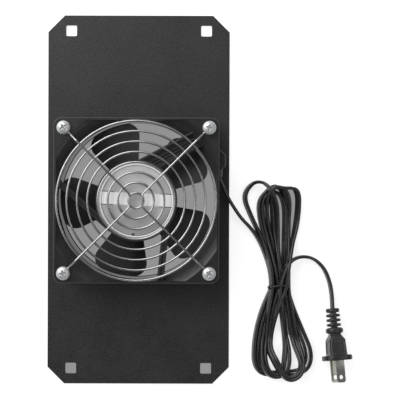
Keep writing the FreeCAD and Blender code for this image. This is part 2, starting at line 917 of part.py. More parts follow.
def plug_outline(width, depth, corner, x):
    """Rounded rectangle across the plug at x, width along Y and depth along Z."""
    sheet = block((x, x + 1), (-width / 2, width / 2), (-depth / 2, depth / 2))
    edges = [edge for edge in sheet.Edges if edge.BoundBox.XLength > 0.5]
    rounded = sheet.makeFillet(corner, edges)
    return min(rounded.Faces, key=lambda face: face.CenterOfMass.x).OuterWire


def plug_relief():
    """Ribbed strain relief: a slim core, ribs and a collar next to the body."""
    along = Vec(1, 0, 0)
    core = Part.makeCone(plug_core_first_radius, plug_core_last_radius, plug_relief_length,
                         Vec(0, 0, 0), along)
    ribs = []
    for index in range(plug_rib_count):
        share = index / (plug_rib_count - 1)
        radius = plug_rib_first_radius + (plug_rib_last_radius - plug_rib_first_radius) * share
        start = plug_rib_start + plug_rib_pitch * index
        ribs.append(plug_disc(radius, start, plug_rib_thickness))
    start = plug_rib_start + plug_rib_pitch * plug_rib_count
    ribs.append(plug_disc(plug_collar_radius, start, plug_collar_thickness))
    return plug_laid(core.multiFuse(ribs))


def plug_disc(radius, start, thickness):
    rib = Part.makeCylinder(radius, thickness, Vec(start, 0, 0), Vec(1, 0, 0))
    rims = [edge for edge in rib.Edges if edge.BoundBox.XLength < 1e-6]
    return rib.makeChamfer(plug_rib_edge, rims)


def plug_blade(side, grow=0.0):
    """One flat blade with a round hole near its tip."""
    face = plug_relief_length + plug_body_length + plug_flange_length
    middle = side * plug_blade_spacing / 2
    half = plug_blade_width / 2
    thick = plug_blade_thickness / 2
    blade = block((face - plug_blade_root, face + plug_blade_length), (-half, half),
                  (middle - thick, middle + thick))
    tip = [edge for edge in blade.Edges
           if edge.BoundBox.ZLength > thick and edge.BoundBox.XMin > face]
    blade = blade.makeChamfer(plug_blade_tip_cut, tip)
    hole = Part.makeCylinder(plug_blade_hole_radius, plug_blade_thickness,
                             Vec(face + plug_blade_hole_place, 0, middle - thick))
    return blade.cut(hole)


def plug_grips():
    """Shallow pockets in the four sides of the body, for the fingers."""
    low = plug_relief_length + plug_shoulder_length + plug_grip_margin
    high = plug_relief_length + plug_body_length - plug_grip_margin
    pockets = []
    for side in (-1, 1):
        across = plug_body_width / 2 - plug_grip_margin
        far = side * plug_body_depth / 2
        near = far - side * plug_grip_depth
        pockets.append(block((low, high), (-across, across), (min(near, far), max(near, far))))
        across = plug_body_depth / 2 - plug_body_corner
        far = side * plug_body_width / 2
        near = far - side * plug_grip_depth
        pockets.append(block((low, high), (min(near, far), max(near, far)), (-across, across)))
    return pockets


def plug_body():
    """Body with sloping shoulders, finger grips and a flange behind the blades."""
    shoulder = plug_relief_length + plug_shoulder_length
    face = plug_relief_length + plug_body_length
    neck = plug_outline(plug_neck_width, plug_neck_depth, plug_neck_corner, plug_relief_length)
    wide = plug_outline(plug_body_width, plug_body_depth, plug_body_corner, shoulder)
    taper = Part.makeLoft([neck, wide], True, True)
    straight = Part.Face(wide).extrude(Vec(face - shoulder, 0, 0))
    rim = plug_outline(plug_flange_width, plug_flange_depth, plug_flange_corner, face)
    flange = Part.Face(rim).extrude(Vec(plug_flange_length, 0, 0))
    rims = [edge for edge in flange.Edges if edge.BoundBox.XLength < 1e-6]
    flange = flange.makeChamfer(plug_flange_edge, rims)
    solid = taper.multiFuse([straight, flange]).removeSplitter()
    return plug_laid(solid.cut(plug_grips() + [plug_blade(-1), plug_blade(1)]))


def plug_blades():
    return Part.makeCompound([plug_laid(plug_blade(side)) for side in (-1, 1)])


# --- every sub-part in its own file ----------------------------------------------------------
nodes = {
    "mounting_plate": mounting_plate(),
    "plate_screws": plate_screws(),
    "fan_frame": fan_frame(),
    "motor_label": motor_label(),
    "bearing_tube": bearing_tube(),
    "front_bearing": sleeve_bearing(front_bearing_low),
    "rear_bearing": sleeve_bearing(rear_bearing_low),
    "stator_core": stator_core(),
    "coil_formers": coil_formers(),
    "stator_coils": stator_coils(),
    "thrust_washer": thrust_washer(),
    "spring_washer": spring_washer(),
    "impeller": impeller(),
    "rotor_cage": rotor_cage(),
    "rotor_shaft": rotor_shaft(),
    "retaining_clip": retaining_clip(),
    "guard_rings": guard_rings(),
    "guard_spokes": guard_spokes(),
    "guard_screws": guard_screws(),
    "terminal_block": terminal_block(),
    "terminal_pins": terminal_pins(),
    "motor_leads": motor_leads(),
    "connector_contacts": connector_contacts(),
    "cord_connector": cord_connector(),
    "connector_relief": connector_relief(),
    "cord_lead": cord_lead(),
    "cord_hank": cord_hank(),
    "cord_tie": cord_tie(),
    "cord_tail": cord_tail(),
    "plug_relief": plug_relief(),
    "plug_body": plug_body(),
    "plug_blades": plug_blades(),
}

os.makedirs("parts", exist_ok=True)
for name, shape in nodes.items():
    shape.exportStep(os.path.join("parts", name + ".step"))
    print(name, len(shape.Solids), "solids", round(shape.Volume, 1), "mm3", shape.isValid())
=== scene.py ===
"""Rack fan tray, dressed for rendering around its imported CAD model.

Tables of points and sizes are in millimetres, in the CAD frame; MM turns them into metres.
"""

import json
import math
from functools import reduce

import bmesh
import bpy
from mathutils import Matrix, Vector

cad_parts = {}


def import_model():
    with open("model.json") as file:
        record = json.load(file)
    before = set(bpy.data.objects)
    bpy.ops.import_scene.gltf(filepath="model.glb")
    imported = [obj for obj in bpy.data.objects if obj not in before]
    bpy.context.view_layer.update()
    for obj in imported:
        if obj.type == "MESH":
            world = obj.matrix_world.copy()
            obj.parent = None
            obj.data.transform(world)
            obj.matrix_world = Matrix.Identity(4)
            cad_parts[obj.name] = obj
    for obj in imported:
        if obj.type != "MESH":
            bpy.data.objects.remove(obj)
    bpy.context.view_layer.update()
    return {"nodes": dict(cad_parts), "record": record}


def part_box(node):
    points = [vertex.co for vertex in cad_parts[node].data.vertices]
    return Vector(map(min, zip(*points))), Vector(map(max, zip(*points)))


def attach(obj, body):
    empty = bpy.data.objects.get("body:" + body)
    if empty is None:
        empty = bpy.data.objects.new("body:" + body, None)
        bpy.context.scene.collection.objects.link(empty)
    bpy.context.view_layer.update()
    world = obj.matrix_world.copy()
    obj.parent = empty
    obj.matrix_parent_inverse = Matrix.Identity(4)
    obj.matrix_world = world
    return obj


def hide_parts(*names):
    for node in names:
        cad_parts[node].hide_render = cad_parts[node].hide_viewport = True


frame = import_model()

MM = 0.001
UP = Vector((0, 0, 1))
NORTH = Vector((0, 1, 0))

# --- what the scene takes from the part's source: the cord's route and the plug's place --------
LEAD_ROUTE = [
    (60.1, 17.0, 15.0), (62.4, 11.4, 14.2), (66.4, 2.8, 11.4), (71.3, -5.4, 8.4), (77.2, -14.0, 5.2),
    (84.6, -21.2, 3.2), (91.0, -30.6, 2.6), (95.6, -41.4, 2.8), (98.9, -51.8, 3.6),
]
TAIL_ROUTE = [
    (110.6, -48.0, 12.0), (118.6, -42.2, 8.0), (130.4, -42.6, 3.4), (139.3, -50.4, 2.5),
    (143.8, -61.0, 2.6), (145.4, -71.4, 3.7), (145.6, -81.4, 5.6),
]
PLUG_HEADING = -85.5        # degrees from +X
PLUG_SLANT = 9.6            # degrees, how far the blades point up
PLUG_ROLL = 10.0            # degrees about its own length
PLUG_INSIDE = 4.0           # how far the cord goes on inside the strain relief

# --- the hank: folded turns of flat cord, tied at the waist ------------------------------------
WAIST_Y = -64.9
LOW, MIDDLE, HIGH = 2.6, 7.5, 12.4      # heights of the cord's middle in the three layers at the tie
LAYER_NEAR, LAYER_FAR = 12.0, 42.0      # layers are full up to the first distance, flat from the second
# (x, z) of each pass through the tie
WAIST_DOWN = [
    (100.5, LOW), (103.3, LOW), (104.9, MIDDLE), (106.1, LOW), (109.6, HIGH), (100.5, MIDDLE),
]
WAIST_UP = [
    (111.9, LOW), (109.0, LOW), (112.2, MIDDLE), (106.3, MIDDLE), (109.2, MIDDLE), (105.3, HIGH),
]
# how far a lower turn's foot rises over the turns below it, and its (x, y) from left leg to right leg
FEET = [
    (0.0, [(87.4, -106.0), (87.0, -113.0), (87.0, -120.0), (88.6, -126.2), (92.2, -130.4),
           (98.0, -131.6), (106.0, -131.4), (114.0, -131.2), (121.4, -131.0), (126.6, -127.8),
           (129.5, -122.6), (130.0, -116.4), (128.8, -110.0), (125.6, -102.6)]),
    (0.0, [(90.0, -106.0), (89.6, -113.0), (89.4, -119.0), (90.7, -124.5), (93.9, -128.4),
           (99.4, -129.7), (108.0, -128.8), (115.0, -128.6), (120.4, -127.8), (124.2, -124.8),
           (126.2, -119.6), (125.8, -113.6), (124.1, -107.4), (121.2, -100.6)]),
    (9.4, [(97.6, -104.0), (97.4, -110.0), (98.8, -115.2), (101.2, -119.6), (103.5, -123.9),
           (106.0, -127.9), (108.8, -131.7), (112.5, -134.2), (117.0, -133.6), (120.8, -130.6),
           (123.2, -125.8), (123.5, -119.2), (121.9, -112.2), (119.4, -104.6)]),
    (4.8, [(92.9, -104.0), (92.2, -111.0), (92.4, -118.0), (93.4, -123.8), (95.8, -128.8),
           (99.6, -131.9), (104.2, -132.9), (108.8, -131.4), (112.0, -127.4), (113.3, -121.8),
           (113.4, -115.4), (112.8, -109.0), (111.1, -102.4)]),
    (9.4, [(99.3, -104.0), (99.3, -109.8), (100.9, -114.4), (103.3, -118.6), (105.3, -122.6),
           (107.1, -126.6), (109.2, -129.9), (112.0, -131.8), (115.6, -131.5), (118.9, -129.5),
           (121.2, -126.2), (121.7, -121.6), (119.8, -116.0), (117.2, -109.6), (115.2, -102.0)]),
    (4.8, [(95.6, -104.0), (94.9, -111.0), (95.0, -117.6), (95.9, -123.0), (98.0, -127.6),
           (101.4, -130.4), (104.8, -130.8), (107.6, -128.3), (109.0, -124.2), (109.7, -118.2),
           (110.5, -111.6), (110.4, -104.4)]),
]
# the same for the crown of an upper turn, from the leg that goes up to the one that comes down
CROWNS = [
    (0.0, [(110.6, -12.0), (110.7, -4.8), (110.1, 0.6), (108.6, 5.2), (106.0, 9.2), (102.4, 10.7),
           (98.6, 9.3), (95.6, 6.0), (92.6, 3.0), (90.6, -1.0), (90.0, -6.4), (90.7, -12.6)]),
    (0.0, [(110.0, -15.0), (109.9, -8.4), (109.1, -2.6), (107.4, 2.2), (104.6, 5.3), (101.0, 6.6),
           (97.2, 5.3), (94.2, 1.8), (92.7, -3.4), (92.6, -10.2)]),
    (4.8, [(112.4, -14.0), (112.9, -6.4), (112.5, 0.2), (111.2, 4.8), (109.0, 8.2), (105.4, 9.8),
           (101.4, 9.5), (98.4, 6.6), (96.8, 1.8), (96.1, -4.0), (96.4, -11.4)]),
    (4.8, [(100.9, -15.0), (100.3, -6.4), (99.5, 0.4), (99.3, 5.8), (101.4, 9.4), (106.0, 9.7),
           (110.6, 9.0), (115.0, 9.3), (118.2, 7.4), (119.7, 2.8), (119.9, -3.4), (119.6, -11.0)]),
]
LOOSE_TURN = [
    (106.8, -54.0, 7.6), (105.2, -45.0, 6.4), (104.1, -35.0, 5.0), (104.1, -24.0, 4.6),
    (103.8, -13.0, 6.0), (103.4, -5.4, 9.4), (101.8, 1.0, 12.4), (99.6, 6.0, 12.8),
    (96.6, 10.6, 11.4), (92.4, 13.6, 8.4), (87.4, 13.4, 5.0), (83.4, 10.2, 3.0), (81.0, 6.6, 2.6),
    (79.9, 3.0, 2.6), (80.3, -1.6, 2.6), (82.5, -7.5, 2.6), (85.5, -14.4, 2.6), (88.9, -21.5, 2.7),
    (92.9, -30.0, 3.4), (96.9, -40.5, 5.4), (99.6, -52.0, 7.2),
]
# (share of the way along, share of the way across) between the waist and a crown or a foot
UPPER_LEG = [(0.14, 0.10), (0.28, 0.23), (0.46, 0.42), (0.64, 0.64), (0.82, 0.86)]
LEFT_LEG = [(0.16, 0.22), (0.34, 0.48), (0.54, 0.70), (0.76, 0.88)]
RIGHT_LEG = [(0.18, 0.10), (0.38, 0.28), (0.60, 0.52), (0.80, 0.76)]
BEND_FULLNESS = 1.5         # how soon a crown or a foot reaches its full rise

# --- flat two-core cord, standing on its edge --------------------------------------------------
CORD_WIDTH = 5.1
CORD_HALF_THICK = 1.4
CORD_HALF_WAIST = 1.0       # half the thickness of the web between the cores
CORE_FULLNESS = 2.2, 2.6    # how soon the section reaches a core's full thickness and place
CORD_SIDES = 20
CORD_STEP = 1.3
CORD_LEAN = 23.0            # degrees, how far a straight run leans over
SWAYS = [(7.0, 47.0, 0.0), (6.0, 19.0, 1.0)]        # degrees, millimetres a radian, radians at the start
CROWN_LEAN = 38.0           # degrees, further lean of the outermost run beside the crowns
CROWN_SIDE = (115.0, 119.0), (-45.0, -20.0)         # x and y between which that lean sets in
END_POINTS = 40             # points at each end over which the lean is taken back

# --- wire tie round the waist of the hank ------------------------------------------------------
TIE_RADIUS = 0.7
TIE_Y = WAIST_Y + 0.7       # a little up the hank from its waist
TIE_LEFT, TIE_RIGHT = 98.8, 113.9
TIE_BOTTOM, TIE_TOP = 0.6, 15.6
TIE_SIDES = 10
TWIST_TOP = 11.5
TWIST_ASIDE = 0.3           # how far outside the loop it starts, both ways
TWIST_SLOPE = 0.1, 0.2      # how far it leans away for each millimetre down, in x and in y
TWIST_LENGTH = 5.0
TWIST_TURNS = 3.5
TWIST_STEPS = 48
STRAND_SHARE = 0.9          # a strand's radius as a share of the loop's
STRAND_SIDES = 8

# --- moulded plug ------------------------------------------------------------------------------
# The rows of its tables are: distance along the plug, half width, half depth and squareness.
PLUG_WEB = (2.05, 4.5, 3.2)             # half width, half depth and squareness between the ribs
# start, length and radius of each rib
RIBS = [(-0.3, 3.0, 5.0), (3.9, 2.1, 5.2), (7.4, 2.1, 5.3), (10.9, 2.1, 5.3)]
RIB_EDGE = 0.5
RIB_FOOT = 0.1
RIB_SQUARENESS = 2.2
COLLAR_FOOT = 0.2
PLUG_FACE, PLUG_BACK = 34.4, 38.3       # where the body meets the flange, and the flange's far side
FLANGE_FOOT, FLANGE_EDGE = 0.1, 0.6
COLLAR = [
    (14.1, 4.9, 4.9, 2.2), (14.6, 6.0, 5.9, 2.3), (15.3, 6.4, 6.3, 2.3), (17.0, 6.4, 6.3, 2.3),
    (17.8, 6.0, 6.1, 2.4), (18.3, 4.9, 5.6, 2.6), (18.6, 4.2, 5.0, 3.0),
]
PLUG_BODY = [
    (19.4, 4.3, 5.0, 3.6), (20.0, 4.5, 5.6, 4.2), (22.4, 5.8, 7.2, 6.0), (23.0, 6.1, 7.5, 7.0),
    (28.0, 6.3, 7.6, 7.4), (33.2, 6.5, 7.7, 7.4), (34.0, 6.8, 8.2, 6.0), (PLUG_FACE, 7.3, 9.2, 4.6),
]
FLANGE = [
    (PLUG_FACE + FLANGE_FOOT, 9.7, 10.6, 3.6), (PLUG_FACE + FLANGE_EDGE, 10.3, 11.1, 3.5),
    (PLUG_BACK - FLANGE_EDGE, 10.3, 11.1, 3.5), (PLUG_BACK, 9.7, 10.6, 3.6),
]
PLUG_STEP = 0.45
PLUG_SIDES = 96
GRIP_DEPTH = 0.55
GRIP_SOFT = 0.7             # width of a grip's sloping edge
GRIP_START, GRIP_STOP = 24.0, 33.4
GRIP_FACE_HALF, GRIP_SIDE_HALF = 4.7, 5.4
FACE_UP, SIDE_OUT = 6.5, 5.5            # points further out than these lie on a broad face or a side

# --- guard screws: pan heads with a cross recess, and rolled threads ---------------------------
HEAD_RADIUS, HEAD_HEIGHT = 4.75, 3.0
HEAD_EDGE = 0.3             # chamfer under the rim
HEAD_RIM = 1.26             # height at which the dome begins
DOME_RADIUS = 2.6           # radius towards which the dome draws in
TOP_RADIUS = 1.2            # flat middle of the dome
DOME_STEPS = 10
HEAD_SIDES = 48
CORNERS = [(-1, -1), (1, -1), (1, 1), (-1, 1)]
HEAD_TURNS = 12.0, 55.0, 78.0, 31.0     # degrees that the recess in each corner is turned
RECESS_ARM, RECESS_WIDTH, RECESS_DEPTH = 2.7, 1.05, 1.9
RECESS_ABOVE = 0.5          # how far the cutter stands above the head
RECESS_FLOOR = 0.45, 0.7    # shares of the arm and the width at the recess's floor
RECESS_MOUTH = 1.08, 1.1    # and at the cutter's top
SHANK_LENGTH = 11.9
SHANK_RADIUS, THREAD_DEPTH, THREAD_PITCH = 2.0, 0.22, 0.8
SHANK_POINT = 0.5           # how much narrower the shank's first ring is
SHANK_SIDES, SHANK_ROWS = 28, 110


def mix(a, b, share):
    return a + (b - a) * share


def ease(value, low, high):
    """0 up to low, 1 from high on, and a smooth step in between."""
    share = min(1.0, max(0.0, (value - low) / (high - low)))
    return share * share * (3 - 2 * share)


# --- meshes ------------------------------------------------------------------------------------
def linked(name, data):
    """A new object of that data, in the scene."""
    made = bpy.data.objects.new(name, data)
    bpy.context.scene.collection.objects.link(made)
    return made


def new_piece(name, verts, faces, smooth=True):
    mesh = bpy.data.meshes.new(name)
    mesh.from_pydata([tuple(v) for v in verts], [], faces)
    mesh.validate()
    for polygon in mesh.polygons:
        polygon.use_smooth = smooth
    return linked(name, mesh)


def skin(rings, sides):
    """Faces between rings of vertices that follow one another."""
    faces = []
    for ring in range(rings - 1):
        for side in range(sides):
            a, b = ring * sides + side, ring * sides + (side + 1) % sides
            faces.append((a, b, b + sides, a + sides))
    return faces


def closed_skin(rings, sides):
    """The same, with a flat face on either end."""
    return skin(rings, sides) + [tuple(reversed(range(sides))),
                                 tuple(range((rings - 1) * sides, rings * sides))]


def circle(radius, sides):
    return [(radius * math.cos(math.tau * k / sides), radius * math.sin(math.tau * k / sides))
            for k in range(sides)]


def nurbs_line(name, points):
    """Points of a smooth NURBS line that has these as its control points, in metres."""
    curve = bpy.data.curves.new(name, "CURVE")
    curve.dimensions = "3D"
    curve.resolution_u = 12
    spline = curve.splines.new("NURBS")
    spline.points.add(len(points) - 1)
    for point, place in zip(spline.points, points):
        point.co = (place[0] * MM, place[1] * MM, place[2] * MM, 1.0)
    spline.order_u = 3
    spline.use_endpoint_u = True
    holder = linked(name, curve)
    bpy.context.view_layer.update()
    mesh = bpy.data.meshes.new_from_object(holder)
    line = [vertex.co.copy() for vertex in mesh.vertices]
    bpy.data.objects.remove(holder)
    bpy.data.curves.remove(curve)
    bpy.data.meshes.remove(mesh)
    return line


def evenly(line, step):
    """The same line with its points a step apart."""
    places = [0.0]
    for first, second in zip(line, line[1:]):
        places.append(places[-1] + (second - first).length)
    count = max(2, round(places[-1] / step))
    spaced, index = [], 0
    for number in range(count + 1):
        target = places[-1] * number / count
        while index < len(places) - 2 and places[index + 1] < target:
            index += 1
        span = places[index + 1] - places[index]
        share = (target - places[index]) / span if span > 0 else 0.0
        spaced.append(line[index].lerp(line[index + 1], share))
    return spaced


def swept(name, line, section, rolls=None, upward=UP):
    """A tube along a line. The section is (across, up) pairs, and up stays near the upward direction."""
    verts = []
    for index, place in enumerate(line):
        before, after = line[max(0, index - 1)], line[min(len(line) - 1, index + 1)]
        along = (after - before).normalized()
        across = along.cross(upward).normalized()
        upright = across.cross(along).normalized()
        if rolls:
            turn = Matrix.Rotation(rolls[index], 3, along)
            across, upright = turn @ across, turn @ upright
        verts += [place + across * a + upright * b for a, b in section]
    return new_piece(name, verts, closed_skin(len(line), len(section)))


def joined(name, pieces):
    """One piece made of several meshes."""
    made = bmesh.new()
    for piece in pieces:
        piece.data.transform(piece.matrix_world)
        made.from_mesh(piece.data)
        bpy.data.objects.remove(piece)
    mesh = bpy.data.meshes.new(name)
    made.to_mesh(mesh)
    made.free()
    return linked(name, mesh)


# --- cord --------------------------------------------------------------------------------------
def layer_height(layer, place_y):
    """Height of a pass: its layer near the tie, on the floor far off."""
    return mix(layer, LOW, ease(abs(place_y - WAIST_Y), LAYER_NEAR, LAYER_FAR))


def leg(waist, far, shares):
    """Points from the waist (x, z) towards the far point (x, y) of a crown or a foot."""
    points = []
    for along, across in shares:
        place_y = mix(WAIST_Y, far[1], along)
        points.append((mix(waist[0], far[0], across), place_y, layer_height(waist[1], place_y)))
    return points


def bend_over(places, rise):
    """A crown or a foot with its middle lifted over the turns that it crosses."""
    points = []
    for index, (x, y) in enumerate(places):
        share = math.sin(math.pi * index / (len(places) - 1))
        points.append((x, y, LOW + rise * min(1.0, share * BEND_FULLNESS)))
    return points


def hank_points():
    """Given points of the folded turns, in order along the cord."""
    points = []
    for index, (rise, foot) in enumerate(FEET):
        down, up = WAIST_DOWN[index], WAIST_UP[index]
        points.append((down[0], WAIST_Y, down[1]))
        points += leg(down, foot[0], LEFT_LEG)
        points += bend_over(foot, rise)
        points += reversed(leg(up, foot[-1], RIGHT_LEG))
        points.append((up[0], WAIST_Y, up[1]))
        if index < len(CROWNS):
            rise, crown = CROWNS[index]
            points += leg(up, crown[0], UPPER_LEG)
            points += bend_over(crown, rise)
            points += reversed(leg(WAIST_DOWN[index + 1], crown[-1], UPPER_LEG))
        elif index == len(CROWNS):
            points += LOOSE_TURN
    return points


def cord_section():
    """Outline of the two round cores side by side and the web between them, in metres."""
    section = []
    thickening, parting = CORE_FULLNESS
    core_offset = CORD_WIDTH / 2 - CORD_HALF_THICK
    for across, up in circle(1.0, CORD_SIDES):
        half_thick = mix(CORD_HALF_WAIST, CORD_HALF_THICK, min(1.0, abs(up) * thickening))
        offset = math.copysign(core_offset, up) * min(1.0, abs(up) * parting)
        section.append((across * half_thick * MM, (up * CORD_HALF_THICK + offset) * MM))
    return section


def cord_rolls(line):
    """How far the cord leans at each point of its line, in radians."""
    rolls = []
    side_x, side_y = CROWN_SIDE
    for index, place in enumerate(line):
        travelled = index * CORD_STEP
        heading = (line[min(index + 1, len(line) - 1)] - line[max(index - 1, 0)]).normalized()
        lean = CORD_LEAN * heading.y * abs(heading.y)
        lean += sum(size * math.sin(travelled / length + start) for size, length, start in SWAYS)
        lean -= CROWN_LEAN * ease(place.x / MM, *side_x) * ease(place.y / MM, *side_y)
        rolls.append(math.radians(lean))
    for index in range(END_POINTS):
        share = index / (END_POINTS - 1)
        rolls[index] *= share
        rolls[-1 - index] = mix(math.radians(-PLUG_ROLL), rolls[-1 - index], share)
    return rolls


def plug_axes():
    """The plug's own axes in the CAD frame: along it, across it and up through it."""
    turn = Matrix.Rotation(math.radians(PLUG_HEADING), 3, "Z")
    tip = Matrix.Rotation(math.radians(-PLUG_SLANT), 3, "Y")
    roll = Matrix.Rotation(math.radians(-PLUG_ROLL), 3, "X")
    return turn @ tip @ roll


axes = plug_axes()
entry = Vector(TAIL_ROUTE[-1])
cord_end = entry + axes @ Vector((PLUG_INSIDE, 0, 0))
cord_points = LEAD_ROUTE + hank_points() + TAIL_ROUTE + [tuple(cord_end)]
cord_line = evenly(nurbs_line("cord_line", cord_points), CORD_STEP * MM)
mains_cord = swept("mains_cord", cord_line, cord_section(), cord_rolls(cord_line))
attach(mains_cord, "tray")
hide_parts("cord_lead", "cord_hank", "cord_tail")


# --- tie ---------------------------------------------------------------------------------------
def tie_loop():
    """Once round the waist, clockwise from the left side as seen from the foot of the hank."""
    left, right, low, high, y = TIE_LEFT, TIE_RIGHT, TIE_BOTTOM, TIE_TOP, TIE_Y
    route = [
        (left, y, 8.0), (left, y - 0.2, high - 4.0), (left + 0.8, y - 0.4, high - 0.5),
        (left + 3.5, y + 0.6, high + 0.3), (left + 7.5, y + 1.1, high + 0.1),
        (right - 4.5, y + 0.7, high - 0.2), (right - 1.3, y + 0.1, high - 1.2),
        (right - 0.5, y - 0.1, high - 5.0), (right, y, 4.0), (right - 0.6, y, low),
        (right - 4.0, y, low), (left + 4.0, y, low), (left + 0.6, y, low),
        (left - 0.2, y, 3.0), (left - 0.4, y, 7.0),
    ]
    return swept("tie_loop", nurbs_line("tie_line", route), circle(TIE_RADIUS * MM, TIE_SIDES), upward=NORTH)


def tie_strand(phase):
    """One of the wire's two ends, twisted round the other down the left side."""
    route = []
    for step in range(TWIST_STEPS + 1):
        share = step / TWIST_STEPS
        down = TWIST_LENGTH * share
        angle = math.tau * TWIST_TURNS * share + phase
        route.append((TIE_LEFT - TWIST_ASIDE - TWIST_SLOPE[0] * down + TIE_RADIUS * math.cos(angle),
                      TIE_Y - TWIST_ASIDE - TWIST_SLOPE[1] * down + TIE_RADIUS * math.sin(angle),
                      TWIST_TOP - down))
    section = circle(TIE_RADIUS * STRAND_SHARE * MM, STRAND_SIDES)
    return swept("tie_strand", nurbs_line("tie_line", route), section, upward=NORTH)


tie = joined("hank_tie", [tie_loop(), tie_strand(0.0), tie_strand(math.pi)])
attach(tie, "tray")
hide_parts("cord_tie")


# --- plug --------------------------------------------------------------------------------------
def plug_profile():
    """Rows of the whole moulding: ribs on a thin upright web, collar, shoulders, body and flange."""
    rows = []
    for start, length, radius in RIBS:
        edge = (radius - RIB_EDGE, radius - RIB_EDGE, RIB_SQUARENESS)
        full = (radius, radius, RIB_SQUARENESS)
        rows += [(start, *PLUG_WEB), (start + RIB_FOOT, *edge), (start + RIB_FOOT + RIB_EDGE, *full),
                 (start + length - RIB_EDGE, *full), (start + length, *edge),
                 (start + length + RIB_FOOT, *PLUG_WEB)]
    rows.append((COLLAR[0][0] - COLLAR_FOOT, *PLUG_WEB))
    return rows + COLLAR + PLUG_BODY + FLANGE


def finely(rows, step):
    """The rows of a profile with more put in between where they are further apart than a step."""
    fine = [rows[0]]
    for first, second in zip(rows, rows[1:]):
        count = max(1, math.ceil((second[0] - first[0]) / step))
        for number in range(1, count + 1):
            fine.append(tuple(mix(a, b, number / count) for a, b in zip(first, second)))
    return fine


def super_point(angle, half_width, half_depth, squareness):
    """A point of a superellipse, which is an ellipse at squareness 2 and nears a rectangle above it."""
    across, up = math.cos(angle), math.sin(angle)
    power = 2.0 / squareness
    return (math.copysign(abs(across) ** power, across) * half_width,
            math.copysign(abs(up) ** power, up) * half_depth)


def grip(along, across, up):
    """How deep a point of the body lies in one of the finger grips, from 0 to 1."""
    start = ease(along, GRIP_START, GRIP_START + GRIP_SOFT)
    stop = 1 - ease(along, GRIP_STOP - GRIP_SOFT, GRIP_STOP)
    face = side = 0.0
    if abs(up) > FACE_UP:
        face = 1 - ease(abs(across), GRIP_FACE_HALF - GRIP_SOFT, GRIP_FACE_HALF)
    if abs(across) > SIDE_OUT:
        side = 1 - ease(abs(up), GRIP_SIDE_HALF - GRIP_SOFT, GRIP_SIDE_HALF)
    return start * stop * max(face, side)


def plug_moulding():
    """Skin over the profile's rows, pressed in where the finger grips are."""
    verts = []
    rows = finely(plug_profile(), PLUG_STEP)
    for along, half_width, half_depth, squareness in rows:
        for index in range(PLUG_SIDES):
            angle = math.tau * (index + 0.5) / PLUG_SIDES
            across, up = super_point(angle, half_width, half_depth, squareness)
            depth = GRIP_DEPTH * grip(along, across, up)
            if abs(up) > FACE_UP:
                up -= math.copysign(depth, up)
            else:
                across -= math.copysign(depth, across)
            verts.append((entry + axes @ Vector((along, across, up))) * MM)
    return new_piece("plug_moulding", verts, closed_skin(len(rows), PLUG_SIDES))


plug = plug_moulding()
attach(plug, "tray")
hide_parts("plug_relief", "plug_body")


# --- screws ------------------------------------------------------------------------------------
def lathe(name, profile, sides):
    """A closed turned shape from (radius, height) pairs, bottom to top, both ends on the axis."""
    verts = [(x, y, height) for radius, height in profile[1:-1] for x, y in circle(radius, sides)]
    bottom, top = len(verts), len(verts) + 1
    verts += [(0, 0, profile[0][1]), (0, 0, profile[-1][1])]
    rings = len(profile) - 2
    faces = skin(rings, sides)
    last = (rings - 1) * sides
    for k in range(sides):
        following = (k + 1) % sides
        faces += [(bottom, following, k), (top, last + k, last + following)]
    return new_piece(name, [Vector(v) * MM for v in verts], faces)


def cross_cutter():
    """Two tapering bars across each other, for cutting the recess."""
    verts, faces = [], []
    levels = ((HEAD_HEIGHT - RECESS_DEPTH, *RECESS_FLOOR), (HEAD_HEIGHT + RECESS_ABOVE, *RECESS_MOUTH))
    for turned in (False, True):
        base = len(verts)
        for height, arm_share, width_share in levels:
            arm, half = RECESS_ARM * arm_share, RECESS_WIDTH * width_share / 2
            for x, y in ((-arm, -half), (arm, -half), (arm, half), (-arm, half)):
                verts.append(Vector((-y, x, height) if turned else (x, y, height)) * MM)
        faces += [tuple(base + k for k in face) for face in
                  ((3, 2, 1, 0), (4, 5, 6, 7), (0, 1, 5, 4), (1, 2, 6, 5), (2, 3, 7, 6), (3, 0, 4, 7))]
    return new_piece("recess", verts, faces, smooth=False)


def pan_head():
    """Domed head, seated at height 0, with a tapering cross recess cut into it."""
    profile = [(0, 0), (HEAD_RADIUS - HEAD_EDGE, 0), (HEAD_RADIUS, HEAD_EDGE), (HEAD_RADIUS, HEAD_RIM)]
    for step in range(1, DOME_STEPS):
        share = math.sin(math.pi / 2 * step / DOME_STEPS)
        profile.append((mix(HEAD_RADIUS, DOME_RADIUS, share ** 1.5), mix(HEAD_RIM, HEAD_HEIGHT, share)))
    profile += [(TOP_RADIUS, HEAD_HEIGHT), (0, HEAD_HEIGHT)]
    head = lathe("screw_head", profile, HEAD_SIDES)
    cutter = cross_cutter()
    cut = head.modifiers.new("recess", "BOOLEAN")
    cut.operation, cut.object, cut.solver, cut.use_self = "DIFFERENCE", cutter, "EXACT", True
    bpy.context.view_layer.update()
    seen = head.evaluated_get(bpy.context.evaluated_depsgraph_get())
    mesh = bpy.data.meshes.new_from_object(seen)
    head.modifiers.clear()
    head.data = mesh
    bpy.data.objects.remove(cutter)
    return head


def threaded_shank():
    """Shank that hangs down from height 0, with a thread all the way."""
    verts = []
    for row in range(SHANK_ROWS + 1):
        height = SHANK_LENGTH * row / SHANK_ROWS
        for k in range(SHANK_SIDES):
            turn = (height / THREAD_PITCH - k / SHANK_SIDES) % 1.0
            radius = SHANK_RADIUS - THREAD_DEPTH * abs(2 * turn - 1)
            if row == 0:
                radius -= SHANK_POINT
            angle = math.tau * k / SHANK_SIDES
            place = (radius * math.cos(angle), radius * math.sin(angle), height - SHANK_LENGTH)
            verts.append(Vector(place) * MM)
    return new_piece("screw_shank", verts, closed_skin(SHANK_ROWS + 1, SHANK_SIDES))


